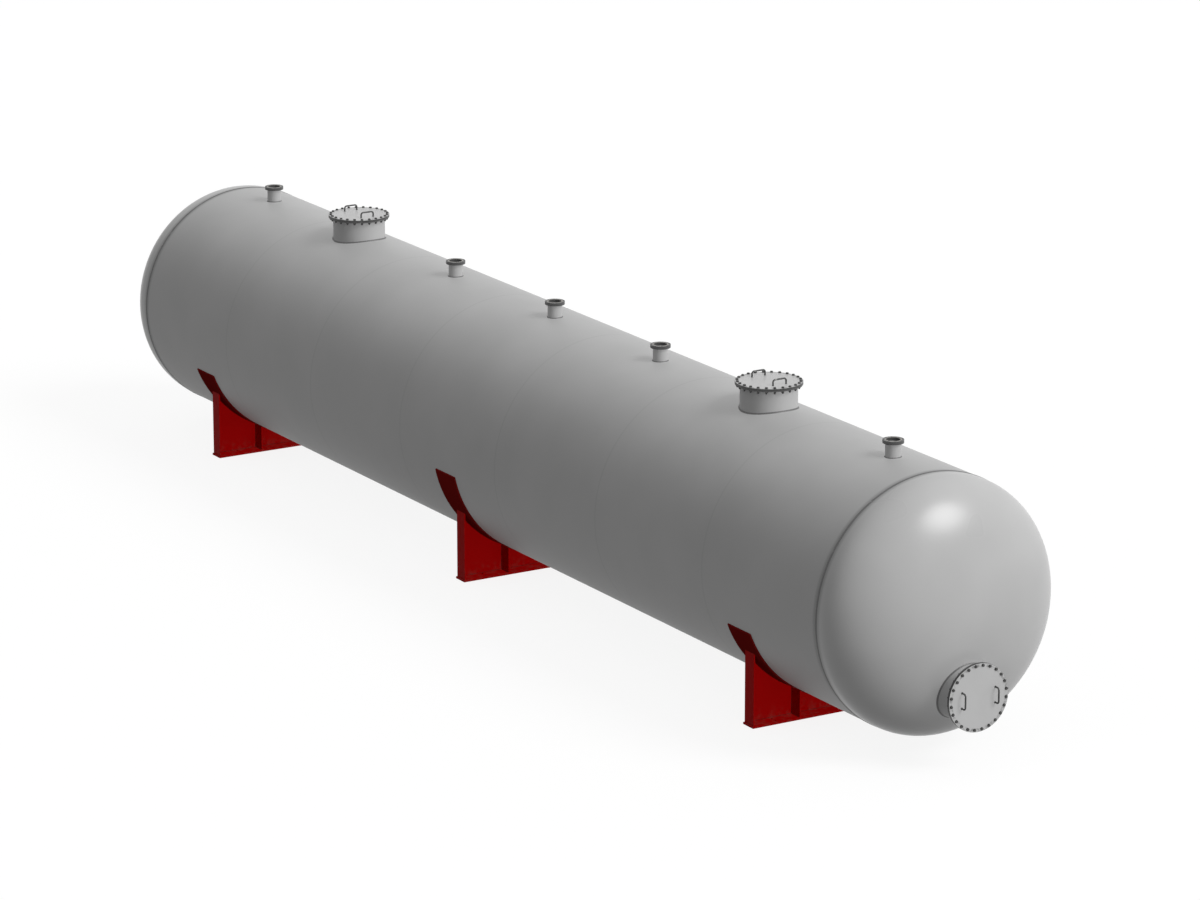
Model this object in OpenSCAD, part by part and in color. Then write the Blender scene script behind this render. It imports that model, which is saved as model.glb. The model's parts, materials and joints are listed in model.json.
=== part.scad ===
// Horizontal settling tank on three saddles.
// The origin is on the ground, under the middle of the middle saddle.
// +X runs along the vessel to the head that carries the front manway, and +Z is up.

/* [Vessel] */
// Inside diameter of the shell and both heads
vessel_id = 2400; // [1800:10:3000]
// Plate thickness of the shell and both heads
wall = 12; // [8:1:20]
// Length of the cylindrical shell between the two head seams
shell_len = 13258; // [10000:1:17000]
// Straight flange between each head's seam and its dished part
head_flange = 80; // [40:5:150]
// Height of the shell's underside above the ground
ground_gap = 184; // [120:1:400]
// Width of the weld bead round each head seam
bead_w = 28; // [16:1:40]
// Height of that bead above the shell
bead_h = 3; // [1:0.5:5]

/* [Nozzles] */
// Centre of the foremost nozzle behind the front seam
front_inset = 600; // [300:10:1200]
// Centre of the rearmost nozzle before the rear seam
rear_inset = 730; // [300:10:1200]
// Outside diameter of a nozzle's neck
nozzle_od = 146; // [100:1:180]
// Wall thickness of a nozzle's neck
nozzle_wall = 8; // [4:1:20]
// Height of a nozzle's flange face above the shell's crown
nozzle_reach = 160; // [100:5:300]
// Outside diameter of a nozzle's flange
nozzle_flange_od = 198; // [190:1:260]
// Thickness of a nozzle's flange
nozzle_flange_t = 30; // [14:1:50]
// Pitch circle of a nozzle's bolt holes
nozzle_pcd = 172; // [164:1:176]
// Diameter of a nozzle's bolt holes
nozzle_hole_d = 14; // [10:1:18]
// Number of bolt holes in a nozzle's flange
nozzle_holes = 8; // [4:4:12]

/* [Manways] */
// Outside diameter of a manway's neck
manway_od = 545; // [400:5:560]
// Wall thickness of a manway's neck
manway_wall = 10; // [6:1:20]
// Height of a top manway's cover above the shell's crown
manway_reach = 237; // [150:1:400]
// How far a top manway sits behind its place in the even row of fittings
manway_shift = 70; // [0:10:200]
// How far the front manway's cover stands out past the front head
front_reach = 110; // [60:5:250]
// Depth of the front manway's centre below the vessel's axis
front_drop = 676; // [300:1:720]
// Outside diameter of a manway's flange and cover
cover_od = 640; // [630:5:800]
// Thickness of a cover
cover_t = 14; // [8:1:40]
// Thickness of a manway's flange
manway_flange_t = 12; // [8:1:40]
// Thickness of the gasket under a cover
gasket_t = 2; // [1:0.5:5]
// Width of the gasket ring
gasket_w = 12; // [6:1:14]
// Distance of the gasket's rim inside the bolt holes
gasket_edge = 2; // [1:0.5:4]
// Pitch circle of a cover's bolts
cover_pcd = 598; // [594:1:604]
// Diameter of a cover's bolt holes
cover_hole_d = 18; // [14:1:20]
// Number of bolts round a cover
cover_holes = 24; // [16:4:28]

/* [Cover handles] */
// Overall length of a handle
handle_len = 160; // [120:5:220]
// Diameter of the round bar that a handle is bent from
handle_bar_d = 16; // [10:1:20]
// Height of a handle's bar above the cover, to the bar's centre
handle_height = 55; // [45:1:90]
// Bend radius of a handle, to the bar's centre
handle_bend = 24; // [20:1:30]
// Distance of a handle from the cover's centre
handle_offset = 180; // [120:5:220]

/* [Saddles] */
// Centre of the front saddle behind the front seam
front_saddle_inset = 1380; // [800:10:2500]
// Centre of the rear saddle before the rear seam
rear_saddle_inset = 1240; // [800:10:2500]
// Half the angle that an end saddle's pad wraps round the shell
end_half_wrap = 68.5; // [60:0.5:80]
// Half the angle that the middle saddle's pad wraps round the shell
middle_half_wrap = 77.5; // [60:0.5:85]
// Length of a pad along the vessel
pad_len = 380; // [200:5:600]
// Thickness of a pad
pad_t = 10; // [6:1:25]
// Thickness of the web plate
web_t = 12; // [8:1:25]
// Length of the base plate across the vessel
base_len = 2050; // [1600:10:2300]
// Width of the base plate along the vessel
base_w = 170; // [160:5:400]
// Thickness of the base plate
base_t = 20; // [10:1:40]
// Width of an end rib along the vessel
rib_w = 150; // [100:5:160]
// Thickness of a rib
rib_t = 12; // [8:1:25]
// Distance of an end rib inside the end of the base plate
rib_inset = 10; // [0:1:40]
// Spacing of the anchor holes along the vessel
anchor_gap = 60; // [50:1:80]
// Diameter of an anchor hole
anchor_d = 28; // [18:1:32]

/* [Hidden] */
$fn = 160;
// Gap left at each curved seat
seat_gap = 0.3;
// How far a neck runs past the lowest point of its hole on the inside
neck_inside = 10;
// Depth of a manway neck's end below its flange face
neck_recess = 3;
// Extra length of a cutting shape past the faces that it cuts
past = 5;
// Number of rolled courses that make up the shell
courses = 7;
// Even steps between the foremost and the rearmost fitting on the crown
crown_steps = 6;

r_in = vessel_id / 2;
r_out = r_in + wall;
axis_h = ground_gap + r_out;
// Distance between neighbouring saddles, and the seams as seen from the middle one
saddle_step = (shell_len - front_saddle_inset - rear_saddle_inset) / 2;
front_seam = saddle_step + front_saddle_inset;
rear_seam = front_seam - shell_len;
// The dished part is a spherical crown that runs into a rounded knuckle, twice as wide as it is deep.
// The knuckle's centre, the crown's centre and the axis make an 8, 15, 17 triangle of this unit.
head_unit = vessel_id / 24;
knuckle_x = 8 * head_unit;
crown_back = 15 * head_unit;
knuckle_r = r_in - knuckle_x;
crown_r = knuckle_r + 17 * head_unit;
head_depth = crown_r - crown_back;
// Distance from the axis at which the crown's inner face meets the knuckle's
join_r = knuckle_x * crown_r / (crown_r - knuckle_r);
crown_step = (shell_len - front_inset - rear_inset) / crown_steps;
// Radius at which the beads and the pads lie on the shell
skin_r = r_out + seat_gap;
seat_r = skin_r + pad_t + seat_gap;
end_rib_y = base_len / 2 - rib_inset - rib_t / 2;
anchor_y = end_rib_y * 3 / 4;

// Steps along the crown that carry a nozzle and those that carry a manway, counted from the front
NOZZLE_STEPS = [0, 2, 3, 4, 6];
MANWAY_STEPS = [1, 5];

// Place of the seam behind the nth course. Whole millimetres keep neighbours exactly face to face.
function course_seam(n) = front_seam - round(n * shell_len / courses);
function crown_x(step) = front_seam - front_inset - step * crown_step;
function nozzle_x(n) = crown_x(NOZZLE_STEPS[n - 1]);
function manway_x(n) = crown_x(MANWAY_STEPS[n - 1]) - manway_shift;
// Depth of a neck's inner end below the crown where the shell is cut for a neck of this diameter
function depth_at_shell(od) = r_out - sqrt(pow(r_in, 2) - pow(od / 2, 2)) + neck_inside;
// How far the dished part's inner face stands out, at this distance from the axis
function dish_at(r) = r < join_r
    ? sqrt(pow(crown_r, 2) - pow(r, 2)) - crown_back
    : sqrt(pow(knuckle_r, 2) - pow(r - knuckle_x, 2));
// Depth of the front neck's inner end, measured back from the front head's outermost point
depth_at_head = head_depth + wall - dish_at(front_drop + manway_od / 2) + neck_inside;

// Turns a shape that stands on +Z so that it lies along the vessel's axis, from x onwards
module along_axis(x) {
    translate([x, 0, axis_h])
        rotate([0, 90, 0])
            children();
}

// Puts a fitting on the crown, with its outer face this far above the shell
module on_crown(x, reach) {
    translate([x, 0, axis_h + r_out + reach])
        rotate(90)
            children();
}

// Puts the front manway on its axis, with its cover's outer face at z = 0 pointing forwards
module on_front() {
    translate([front_seam + head_flange + head_depth + wall + front_reach, 0, axis_h - front_drop])
        rotate([0, 90, 0])
            children();
}

// A straight tube that ends at z = top and runs down by length
module tube(od, id, top, length) {
    difference() {
        translate([0, 0, top - length])
            cylinder(d = od, h = length);
        translate([0, 0, top - length - past])
            cylinder(d = id, h = length + 2 * past);
    }
}

// Holes on a pitch circle, each centred on a line through z = 0
module hole_circle(pcd, hole_d, count, depth) {
    for (i = [0 : count - 1])
        rotate((i + 0.5) * 360 / count)
            translate([pcd / 2, 0, -depth - past])
                cylinder(d = hole_d, h = depth + 2 * past);
}

// ---- Shell and heads ----

// A hole straight down through the top of the shell
module crown_hole(x, d) {
    translate([x, 0, axis_h + r_in / 2])
        cylinder(d = d + 2 * seat_gap, h = r_out);
}

module shell_course(n) {
    length = course_seam(n - 1) - course_seam(n);
    middle = course_seam(n) + length / 2;
    color("darkgray")
        difference() {
            along_axis(middle)
                tube(2 * r_out, 2 * r_in, length / 2, length);
            for (i = [1 : len(NOZZLE_STEPS)])
                if (abs(nozzle_x(i) - middle) < length / 2 + nozzle_od)
                    crown_hole(nozzle_x(i), nozzle_od);
            for (i = [1 : len(MANWAY_STEPS)])
                if (abs(manway_x(i) - middle) < length / 2 + manway_od)
                    crown_hole(manway_x(i), manway_od);
        }
}

// A strip of plate bent to this inner radius, between two directions that reach past it
module bent_strip(radius, from, to) {
    intersection() {
        difference() {
            circle(r = radius + wall);
            circle(r = radius);
        }
        polygon([[0, 0], from, to]);
    }
}

// Half the section of a head: crown, knuckle and straight flange
module head_section() {
    join = [knuckle_x, crown_back];
    translate([0, -crown_back])
        bent_strip(crown_r, [0, 2 * crown_back], 2 * join);
    translate([knuckle_x, 0])
        bent_strip(knuckle_r, join, [crown_back, 0]);
    translate([r_in, -head_flange])
        square([wall, head_flange]);
}

// A head that bulges towards +X, with its seam at this place
module head(seam) {
    color("darkgray")
        along_axis(seam + head_flange)
            rotate_extrude()
                head_section();
}

module head_front() {
    difference() {
        head(front_seam);
        on_front()
            translate([0, 0, -front_reach - depth_at_head - past])
                cylinder(d = manway_od + 2 * seat_gap, h = front_reach + depth_at_head + 2 * past);
    }
}

module head_rear() {
    mirror([1, 0, 0])
        head(-rear_seam);
}

// The bead that joins a head to the shell, flat on top and sloping over a quarter of its width
module head_weld(seam) {
    top_r = skin_r + bead_h;
    color("dimgray")
        along_axis(seam)
            rotate_extrude()
                polygon([
                    [skin_r, -bead_w / 2],
                    [top_r, -bead_w / 4],
                    [top_r, bead_w / 4],
                    [skin_r, bead_w / 2]
                ]);
}

// ---- Nozzles: neck and flange forged in one piece ----

module nozzle(n) {
    length = nozzle_reach + depth_at_shell(nozzle_od);
    color("dimgray")
        on_crown(nozzle_x(n), nozzle_reach)
            difference() {
                union() {
                    translate([0, 0, -length])
                        cylinder(d = nozzle_od, h = length);
                    translate([0, 0, -nozzle_flange_t])
                        cylinder(d = nozzle_flange_od, h = nozzle_flange_t);
                }
                translate([0, 0, -length - past])
                    cylinder(d = nozzle_od - 2 * nozzle_wall, h = length + 2 * past);
                hole_circle(nozzle_pcd, nozzle_hole_d, nozzle_holes, nozzle_flange_t);
            }
}

// ---- Manways: each is drawn with its cover's outer face at z = 0 ----

module manway_neck(depth) {
    top = -cover_t - gasket_t - neck_recess;
    color("darkgray")
        tube(manway_od, manway_od - 2 * manway_wall, top, depth + top);
}

module manway_flange() {
    top = -cover_t - gasket_t;
    color("dimgray")
        difference() {
            tube(cover_od, manway_od + 2 * seat_gap, top, manway_flange_t);
            translate([0, 0, top])
                hole_circle(cover_pcd, cover_hole_d, cover_holes, manway_flange_t);
        }
}

module manway_gasket() {
    gasket_od = cover_pcd - cover_hole_d - 2 * gasket_edge;
    color("black")
        tube(gasket_od, gasket_od - 2 * gasket_w, -cover_t, gasket_t);
}

module manway_cover() {
    color("gainsboro")
        difference() {
            translate([0, 0, -cover_t])
                cylinder(d = cover_od, h = cover_t);
            hole_circle(cover_pcd, cover_hole_d, cover_holes, cover_t);
        }
}

// Half of a handle: a leg, a bend and half of the bar
module handle_half() {
    leg_x = (handle_len - handle_bar_d) / 2;
    bend_z = handle_height - handle_bend;
    translate([leg_x, 0, 0])
        cylinder(d = handle_bar_d, h = bend_z);
    translate([leg_x - handle_bend, 0, bend_z])
        rotate([90, 0, 0])
            rotate_extrude(angle = 90)
                translate([handle_bend, 0])
                    circle(d = handle_bar_d);
    translate([0, 0, handle_height])
        rotate([0, 90, 0])
            cylinder(d = handle_bar_d, h = leg_x - handle_bend);
}

module manway_handles() {
    color("gray")
        for (side = [-1, 1])
            translate([0, side * handle_offset, 0]) {
                handle_half();
                mirror([1, 0, 0])
                    handle_half();
            }
}

module manway_gaskets() {
    on_front()
        manway_gasket();
    for (n = [1 : len(MANWAY_STEPS)])
        on_crown(manway_x(n), manway_reach)
            manway_gasket();
}

// ---- Saddles: each is drawn about x = 0, standing on z = 0 ----

// Moves a saddle to its place: 1 is the front one, 2 the middle one and 3 the rear one
module at_saddle(n) {
    translate([(2 - n) * saddle_step, 0, 0])
        children();
}

// Cuts away whatever reaches up into the pad
module under_pad() {
    difference() {
        children();
        along_axis(-base_w)
            cylinder(r = seat_r, h = 2 * base_w);
    }
}

module saddle_pad(n) {
    half_wrap = n == 2 ? middle_half_wrap : end_half_wrap;
    color("darkred")
        at_saddle(n)
            along_axis(-pad_len / 2)
                rotate(-half_wrap)
                    rotate_extrude(angle = 2 * half_wrap)
                        translate([skin_r, 0])
                            square([pad_t, pad_len]);
}

module saddle_web(n) {
    half_len = end_rib_y - rib_t / 2;
    color("darkred")
        at_saddle(n)
            under_pad()
                translate([-rib_w / 2, -half_len, base_t])
                    cube([web_t, 2 * half_len, axis_h - base_t]);
}

// The web stands along the saddle's rear edge. Two ribs close its ends, and three stiffen its front.
module saddle_ribs(n) {
    color("darkred")
        at_saddle(n)
            under_pad() {
                for (y = [-end_rib_y, end_rib_y])
                    translate([-rib_w / 2, y - rib_t / 2, base_t])
                        cube([rib_w, rib_t, axis_h - base_t]);
                for (y = [-end_rib_y / 2, 0, end_rib_y / 2])
                    translate([web_t - rib_w / 2, y - rib_t / 2, base_t])
                        cube([rib_w - web_t, rib_t, axis_h - base_t]);
            }
}

module saddle_base(n) {
    color("darkred")
        at_saddle(n)
            difference() {
                translate([-base_w / 2, -base_len / 2, 0])
                    cube([base_w, base_len, base_t]);
                for (x = [-anchor_gap / 2, anchor_gap / 2])
                    for (y = [-anchor_y, anchor_y])
                        translate([x, y, -past])
                            cylinder(d = anchor_d, h = base_t + 2 * past);
            }
}

// ---- The pieces, each at its own place ----

module front_neck() {
    on_front()
        manway_neck(front_reach + depth_at_head);
}

module front_flange() {
    on_front()
        manway_flange();
}

module front_cover() {
    on_front()
        manway_cover();
}

module front_handles() {
    on_front()
        manway_handles();
}

module top_neck(n) {
    on_crown(manway_x(n), manway_reach)
        manway_neck(manway_reach + depth_at_shell(manway_od));
}

module top_flange(n) {
    on_crown(manway_x(n), manway_reach)
        manway_flange();
}

module top_cover(n) {
    on_crown(manway_x(n), manway_reach)
        manway_cover();
}

module top_handles(n) {
    on_crown(manway_x(n), manway_reach)
        manway_handles();
}

shell_course(1);  // shell_course_1
shell_course(2);  // shell_course_2
shell_course(3);  // shell_course_3
shell_course(4);  // shell_course_4
shell_course(5);  // shell_course_5
shell_course(6);  // shell_course_6
shell_course(7);  // shell_course_7
head_front();
head_rear();
head_weld(front_seam);  // head_weld_front
head_weld(rear_seam);  // head_weld_rear
nozzle(1);  // nozzle_1
nozzle(2);  // nozzle_2
nozzle(3);  // nozzle_3
nozzle(4);  // nozzle_4
nozzle(5);  // nozzle_5
front_neck();  // manway_front_neck
front_flange();  // manway_front_flange
front_cover();  // manway_front_cover
front_handles();  // manway_front_handles
top_neck(1);  // manway_top_1_neck
top_flange(1);  // manway_top_1_flange
top_cover(1);  // manway_top_1_cover
top_handles(1);  // manway_top_1_handles
top_neck(2);  // manway_top_2_neck
top_flange(2);  // manway_top_2_flange
top_cover(2);  // manway_top_2_cover
top_handles(2);  // manway_top_2_handles
manway_gaskets();
saddle_pad(1);  // saddle_1_pad
saddle_web(1);  // saddle_1_web
saddle_ribs(1);  // saddle_1_ribs
saddle_base(1);  // saddle_1_base
saddle_pad(2);  // saddle_2_pad
saddle_web(2);  // saddle_2_web
saddle_ribs(2);  // saddle_2_ribs
saddle_base(2);  // saddle_2_base
saddle_pad(3);  // saddle_3_pad
saddle_web(3);  // saddle_3_web
saddle_ribs(3);  // saddle_3_ribs
saddle_base(3);  // saddle_3_base
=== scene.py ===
# %% [markdown]
# # A settling tank on three saddles
# A settling tank is a long steel drum that lies on its side. Liquid stands in it until what is
# heavy has sunk, and people climb in through the manways to clear it out. The steel itself comes
# ready made from a CAD model, in metres, with the ground at z = 0 and the front manway at the +X
# end. This lesson adds what the eye looks for: paint, rubber, bolts and the beads of the welds.

# %% Load the tank's solid pieces
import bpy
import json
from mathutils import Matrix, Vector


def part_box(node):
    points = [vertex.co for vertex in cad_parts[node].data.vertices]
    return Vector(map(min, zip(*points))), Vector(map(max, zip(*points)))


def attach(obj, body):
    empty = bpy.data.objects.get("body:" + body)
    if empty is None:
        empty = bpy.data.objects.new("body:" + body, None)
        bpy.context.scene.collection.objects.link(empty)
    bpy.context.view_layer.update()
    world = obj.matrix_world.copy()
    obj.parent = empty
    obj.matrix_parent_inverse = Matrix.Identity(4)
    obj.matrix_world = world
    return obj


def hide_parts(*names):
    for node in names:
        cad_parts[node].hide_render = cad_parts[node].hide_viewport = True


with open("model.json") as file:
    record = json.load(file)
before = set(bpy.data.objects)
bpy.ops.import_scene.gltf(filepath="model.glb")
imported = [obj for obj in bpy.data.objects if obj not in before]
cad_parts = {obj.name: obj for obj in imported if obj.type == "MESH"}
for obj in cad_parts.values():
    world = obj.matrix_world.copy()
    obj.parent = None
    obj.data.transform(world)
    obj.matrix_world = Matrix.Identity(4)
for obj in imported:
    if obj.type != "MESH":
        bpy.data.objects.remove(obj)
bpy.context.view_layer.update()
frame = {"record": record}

# %% Load the tools that this lesson needs
import json
import math
import random
import bmesh
import bpy
from mathutils import Matrix, Vector

# %% [markdown]
# ## The camera
# The tank is seen from far off through a long lens, so its near end looks hardly larger than its
# far end. A camera could be placed by hand, but a point to aim at, a direction and a distance say
# the same thing in numbers that can be checked and changed one at a time.

# %% Place the camera


def towards(azimuth, elevation):
    """The unit vector to a compass direction, in degrees from +X, at a height above the horizon."""
    a, e = math.radians(azimuth), math.radians(elevation)
    return Vector((math.cos(a) * math.cos(e), math.sin(a) * math.cos(e), math.sin(e)))


AIM = Vector((1.0, 0.0, 1.442))
CAMERA_WAY = towards(-31.13, 15.68)
CAMERA_DISTANCE = 52.47
LENS_MM = 159.9
camera_data = bpy.data.cameras.new("camera")
camera_data.lens = LENS_MM
camera_data.clip_end = 1000
camera = bpy.data.objects.new("camera", camera_data)
camera.location = AIM + CAMERA_WAY * CAMERA_DISTANCE
camera.rotation_euler = (-CAMERA_WAY).to_track_quat("-Z", "Y").to_euler()
bpy.context.scene.collection.objects.link(camera)
bpy.context.scene.camera = camera
bpy.context.scene.view_settings.view_transform = "Standard"
print("camera at", [round(v, 2) for v in camera.location], "lens", LENS_MM, "mm")

# %% [markdown]
# ## A helper for node trees
# A material in Blender is a tree of nodes. Every node is added in the same way: make it, set its
# properties, then give each input a value or a link. One small function does that for all of them,
# so each material below reads as a list of what it is made of. Colours are written as the hex
# values of a paint chart and turned to the linear numbers that light is worked out in.

# %% Define the node and colour helpers


def add(tree, kind, settings=None, inputs=None):
    """Adds a node with its settings, and gives each input a value or another node's output."""
    node = tree.nodes.new("ShaderNode" + kind)
    for name, value in (settings or {}).items():
        setattr(node, name, value)
    for name, value in (inputs or {}).items():
        if isinstance(value, bpy.types.Node):
            value = value.outputs[0]
        if isinstance(value, bpy.types.NodeSocket):
            tree.links.new(value, node.inputs[name])
        else:
            node.inputs[name].default_value = value
    return node


def linear(hex_colour):
    """Turns a colour such as "C8C8C8" from sRGB to linear, with an alpha of 1."""
    channels = [int(hex_colour[i:i + 2], 16) / 255 for i in (0, 2, 4)]
    return [c / 12.92 if c <= 0.04045 else ((c + 0.055) / 1.055) ** 2.4 for c in channels] + [1.0]


def per_metre(millimetres):
    """The scale at which a pattern repeats about once in this many millimetres."""
    return 1000 / millimetres


def new_tree(name):
    """An empty material and its node tree."""
    material = bpy.data.materials.new(name)
    material.use_nodes = True
    material.node_tree.nodes.clear()
    return material, material.node_tree


# %% [markdown]
# ## Light, air and ground
# One soft sun stands ahead of the tank and to its left, so the crown and the front head are bright
# and the near side lies in even shade. Under the drum the saddles would be lost in the dark, so
# most of the sun's light comes from a lamp that casts no shadow, as a wide studio screen casts
# hardly any, and the rest from one that does. The sky gives the shade its light. The floor is a
# plane much wider than the tank. To the camera both floor and sky are white, and the floor still
# takes the tank's shadow. To the tank the floor is a mid grey, or it would light the underside as
# snow does.

# %% Light the tank
SUN_WAY = towards(30, 41)
SUN_ENERGY = 0.93 * math.pi
SUN_ANGLE = math.radians(26)
SHADOW_SHARE = 0.3

for name, share in (("open_sun", 1 - SHADOW_SHARE), ("shadow_sun", SHADOW_SHARE)):
    sun_data = bpy.data.lights.new(name, "SUN")
    sun_data.energy = SUN_ENERGY * share
    sun_data.angle = SUN_ANGLE
    sun_data.use_shadow = name == "shadow_sun"
    sun = bpy.data.objects.new(name, sun_data)
    sun.rotation_euler = SUN_WAY.to_track_quat("Z", "Y").to_euler()
    bpy.context.scene.collection.objects.link(sun)
    print(name, "with an energy of", round(sun_data.energy, 2))

# %% Make the sky
SKY_LIGHT = 0.33
WHITE = (1, 1, 1, 1)


def seen_directly(tree):
    """1 for a ray from the camera, and for one that gloss or glass sends on, or else 0."""
    path = add(tree, "LightPath")
    seen = add(tree, "Math", {"operation": "MAXIMUM"},
               {0: path.outputs["Is Camera Ray"], 1: path.outputs["Is Glossy Ray"]})
    return add(tree, "Math", {"operation": "MAXIMUM"},
               {0: seen, 1: path.outputs["Is Transmission Ray"]})


world = bpy.data.worlds.new("sky")
world.use_nodes = True
air = world.node_tree
air.nodes.clear()
strength = add(air, "MapRange", inputs={0: seen_directly(air), "To Min": SKY_LIGHT})
sky = add(air, "Background", inputs={"Color": WHITE, "Strength": strength})
add(air, "OutputWorld", inputs={"Surface": sky})
bpy.context.scene.world = world
print("the sky lights the tank at", SKY_LIGHT)

# %% Lay the floor
GROUND_GREY = 0.25
FLOOR_GLOW = 0.77
FLOOR_HALF_WIDTH = 400

ground, tree = new_tree("painted_ground")
grey = add(tree, "BsdfDiffuse", inputs={"Color": (GROUND_GREY, GROUND_GREY, GROUND_GREY, 1)})
glow = add(tree, "MapRange", inputs={0: seen_directly(tree), "To Max": FLOOR_GLOW})
white = add(tree, "Emission", inputs={"Color": WHITE, "Strength": glow})
both = add(tree, "AddShader", inputs={0: grey, 1: white})
add(tree, "OutputMaterial", inputs={"Surface": both})

bm = bmesh.new()
bmesh.ops.create_grid(bm, x_segments=1, y_segments=1, size=FLOOR_HALF_WIDTH)
floor_mesh = bpy.data.meshes.new("floor")
bm.to_mesh(floor_mesh)
bm.free()
floor_mesh.materials.append(ground)
floor = bpy.data.objects.new("floor", floor_mesh)
bpy.context.scene.collection.objects.link(floor)
print("floor", 2 * FLOOR_HALF_WIDTH, "m wide")

# %% [markdown]
# ## Sizes that the new pieces follow
# Every bead and bolt has to sit on the CAD model, so nothing is placed by eye. The boxes of the CAD
# pieces give the drum's axis and radius, the seams, the covers and the saddles. Only what no box
# can give, such as the radius of a nozzle's neck, is written down as a number.

# %% Read the sizes from the CAD pieces


def measured(node):
    """The middle, the lowest and the highest corner of a CAD piece, to a tenth of a millimetre."""
    low, high = (Vector([round(v, 4) for v in corner]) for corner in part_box(node))
    return (low + high) / 2, low, high


course_mid, course_low, course_high = measured("shell_course_1")
front_low, front_high = measured("head_front")[1:]
SHELL_R = round((course_high.z - course_low.z) / 2, 3)
AXIS_Z = round(course_mid.z, 3)
FRONT_SEAM_X, REAR_SEAM_X = front_low.x, measured("head_rear")[2].x
HEAD_FLANGE = 0.08
DISH_X = FRONT_SEAM_X + HEAD_FLANGE
DISH_DEPTH = front_high.x - DISH_X
WALL = 0.012
print("drum radius", SHELL_R, "seams at", round(REAR_SEAM_X, 3), round(FRONT_SEAM_X, 3),
      "dish", round(DISH_DEPTH, 3), "deep")

# %% [markdown]
# ## A helper that finishes a piece
# A new piece starts as a bmesh, which is Blender's editable mesh. When its shape is done, doubled
# points are merged, the faces are turned to point outwards, and smooth shading is broken only where
# the surface really has an edge. The piece then rides with the tank and is told which finish it
# has.

# %% Define the helper that makes pieces
FULL_TURN = 2 * math.pi
SHARP = math.radians(32)
SAME_POINT = 1e-6
pieces = {}


def shade(mesh):
    """Smooth shading that breaks at sharp edges."""
    mesh.shade_smooth()
    mesh.set_sharp_from_angle(angle=SHARP)


def make_piece(name, bm, slot):
    """Turns a bmesh into a piece that rides with the tank and takes its finish from a slot."""
    bmesh.ops.remove_doubles(bm, verts=bm.verts, dist=SAME_POINT)
    bmesh.ops.recalc_face_normals(bm, faces=bm.faces)
    gaps = sum(not edge.is_manifold for edge in bm.edges)
    mesh = bpy.data.meshes.new(name)
    bm.to_mesh(mesh)
    bm.free()
    shade(mesh)
    made = bpy.data.objects.new(name, mesh)
    bpy.context.scene.collection.objects.link(made)
    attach(made, "root")
    pieces[name] = slot
    print(name, "-", len(mesh.polygons), "faces,", gaps, "open edges")
    return made


# %% [markdown]
# ## The dished heads
# Each end of the drum is a disc of plate that was pressed into a dish, about a quarter as deep as
# it is wide, with a short straight flange to weld to. Turning a profile would make it. Half of a
# sphere squashed to that depth is the same shape in fewer steps, and its curve runs without a break
# from the crown into the flange, so a highlight slides over it smoothly.

# %% Press a head out of half a sphere
SPHERE_SEGMENTS, SPHERE_RINGS = 160, 96


def dished_head(seam_x, way):
    """A head welded on at seam_x that bulges forwards (way 1) or back (way -1)."""
    bm = bmesh.new()
    bmesh.ops.create_uvsphere(bm, u_segments=SPHERE_SEGMENTS, v_segments=SPHERE_RINGS, radius=1)
    bmesh.ops.rotate(bm, verts=bm.verts, matrix=Matrix.Rotation(math.pi / 2, 3, "Y"))
    whole = bm.verts[:] + bm.edges[:] + bm.faces[:]
    bmesh.ops.bisect_plane(bm, geom=whole, dist=1e-5, plane_no=(1, 0, 0), clear_inner=True)
    bmesh.ops.scale(bm, verts=bm.verts, vec=(DISH_DEPTH, SHELL_R, SHELL_R))
    rim = [edge for edge in bm.edges if edge.is_boundary]
    flange = bmesh.ops.extrude_edge_only(bm, edges=rim)["geom"]
    end = [part for part in flange if isinstance(part, bmesh.types.BMVert)]
    bmesh.ops.translate(bm, verts=end, vec=(-HEAD_FLANGE, 0, 0))
    bmesh.ops.recalc_face_normals(bm, faces=bm.faces)
    bmesh.ops.solidify(bm, geom=bm.faces[:], thickness=WALL)
    bmesh.ops.scale(bm, verts=bm.verts, vec=(way, 1, 1))
    bmesh.ops.translate(bm, verts=bm.verts, vec=(seam_x + way * HEAD_FLANGE, 0, AXIS_Z))
    return bm


rear_dish = make_piece("rear_dish", dished_head(REAR_SEAM_X, -1), "vessel_plate")
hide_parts("head_rear")
front_dish = make_piece("front_dish", dished_head(FRONT_SEAM_X, 1), "vessel_plate")
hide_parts("head_front")

# %% [markdown]
# ## The hole in the front head
# The neck of the front manway goes through the dish, low down, where a person can step in. A round
# hole in a curved plate is awkward to build up face by face and easy to cut: a Boolean modifier
# takes a cylinder out of the dish, and the result becomes the piece's mesh.

# %% Cut the manway's hole
NECK_R = 0.2725
HOLE_CLEARANCE = 0.0003
HOLE_SEGMENTS = 96
MANWAY_Z = round(measured("manway_front_cover")[0].z, 3)

bm = bmesh.new()
lying = Matrix.Translation((DISH_X, 0, MANWAY_Z)) @ Matrix.Rotation(math.pi / 2, 4, "Y")
hole_r = NECK_R + HOLE_CLEARANCE
bmesh.ops.create_cone(bm, cap_ends=True, segments=HOLE_SEGMENTS, radius1=hole_r, radius2=hole_r,
                      depth=4 * DISH_DEPTH, matrix=lying)
drill_mesh = bpy.data.meshes.new("drill")
bm.to_mesh(drill_mesh)
bm.free()
drill = bpy.data.objects.new("drill", drill_mesh)
bpy.context.scene.collection.objects.link(drill)
cut = front_dish.modifiers.new("manway_hole", "BOOLEAN")
cut.object = drill
cut.solver = "EXACT"
drilled = front_dish.evaluated_get(bpy.context.evaluated_depsgraph_get())
drilled_mesh = bpy.data.meshes.new_from_object(drilled)
front_dish.modifiers.clear()
front_dish.data = drilled_mesh
shade(front_dish.data)
bpy.data.objects.remove(drill)
print("front dish with its hole:", len(front_dish.data.polygons), "faces")

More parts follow.
